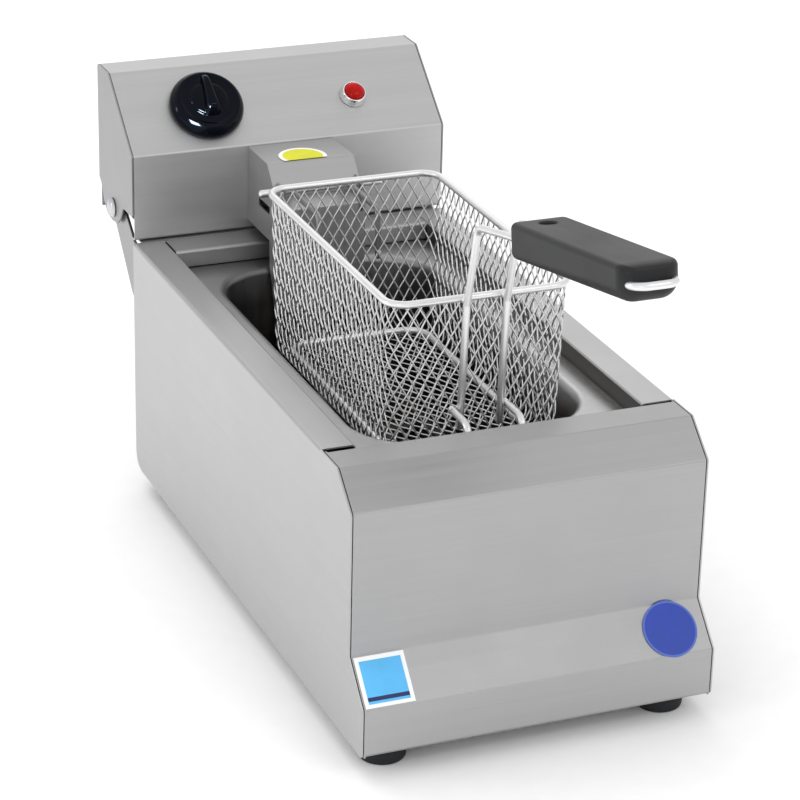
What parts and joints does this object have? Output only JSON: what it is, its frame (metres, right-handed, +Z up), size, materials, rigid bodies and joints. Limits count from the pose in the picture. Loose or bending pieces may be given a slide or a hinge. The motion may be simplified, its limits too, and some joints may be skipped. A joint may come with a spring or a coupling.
{
  "type": "deep fryer",
  "caption": "Countertop electric deep fryer with a drop-in oil pan, a tilting control head that carries the heating element, and a hanging wire basket.",
  "frame": {"origin": "middle of the footprint of the overall bounding box, on the plane the feet stand on", "axes": "+X to the user's right across the width, +Y from the basket handle and front to the control head at the rear, +Z up"},
  "size_m": [0.227, 0.6258, 0.334],
  "materials": {
    "steel": "satin brushed stainless sheet",
    "pan": "smooth deep-drawn stainless",
    "wire": "bright nickel-plated wire",
    "element": "dull heat-darkened sheath",
    "zinc": "zinc-plated",
    "copper": "bright copper tube",
    "black_plastic": "fine-textured moulded phenolic",
    "knob": "polished black",
    "rubber": "matt",
    "red_lens": "clear polished",
    "nylon": "matt moulded",
    "ceramic": "glazed",
    "blue_label": "printed film, blank",
    "sky_label": "printed film, blank",
    "yellow_label": "printed film, blank"
  },
  "bodies": {
    "base": {"front_panel": "steel", "side_panel_left": "steel", "side_panel_right": "steel", "rear_panel": "steel", "bottom_plate": "steel", "oil_pan": "pan", "foot_front_left": "rubber", "foot_front_right": "rubber", "foot_rear_left": "rubber", "foot_rear_right": "rubber", "foot_screw_front_left": "zinc", "foot_screw_front_right": "zinc", "foot_screw_rear_left": "zinc", "foot_screw_rear_right": "zinc", "pivot_bracket_left": "steel", "pivot_bracket_right": "steel", "pivot_bolt_left": "zinc", "pivot_bolt_right": "zinc", "pivot_nut_left": "zinc", "pivot_nut_right": "zinc", "bracket_screw_left_1": "zinc", "bracket_screw_left_2": "zinc", "bracket_screw_right_1": "zinc", "bracket_screw_right_2": "zinc", "round_sticker": "blue_label", "square_sticker": "sky_label"},
    "head": {"head_shell": "steel", "head_side_left": "steel", "head_side_right": "steel", "head_bottom_plate": "steel", "element_cover": "steel", "cover_sticker": "yellow_label", "heating_element": "element", "element_flange": "zinc", "element_rest_1": "element", "element_rest_2": "element", "thermostat": "nylon", "thermostat_bulb": "copper", "cutout_thermostat": "nylon", "terminal_block": "ceramic", "cable_gland": "black_plastic", "lamp_bezel": "wire", "lamp_lens": "red_lens", "lamp_body": "black_plastic"},
    "knob": {"thermostat_knob": "knob", "knob_shaft": "zinc"},
    "reset": {"reset_button": "red_lens"},
    "basket": {"basket_mesh": "wire", "basket_rim": "wire", "basket_bottom_ring": "wire", "basket_handle_wire": "wire", "basket_grip": "black_plastic", "basket_front_hook_left": "wire", "basket_front_hook_right": "wire", "basket_rear_bar": "wire"}
  },
  "joints": [
    {"name": "head_tilt", "type": "hinge", "parent": "base", "child": "head", "pos_m": [0, 0.26295, 0.184], "axis": [-1, 0, 0], "range_deg": [0, 90]},
    {"name": "basket_lift", "type": "slide", "parent": "head", "child": "basket", "axis": [0, 0, 1], "range_m": [0, 0.16]},
    {"name": "knob_turn", "type": "hinge", "parent": "head", "child": "knob", "pos_m": [-0.051, 0.24375, 0.25317], "axis": [0, 0.6402, -0.7682], "range_deg": [0, 270]},
    {"name": "reset_press", "type": "slide", "parent": "head", "child": "reset", "axis": [0, -1, 0], "range_m": [0, 0.002], "stiffness_N_per_m": 500}
  ]
}
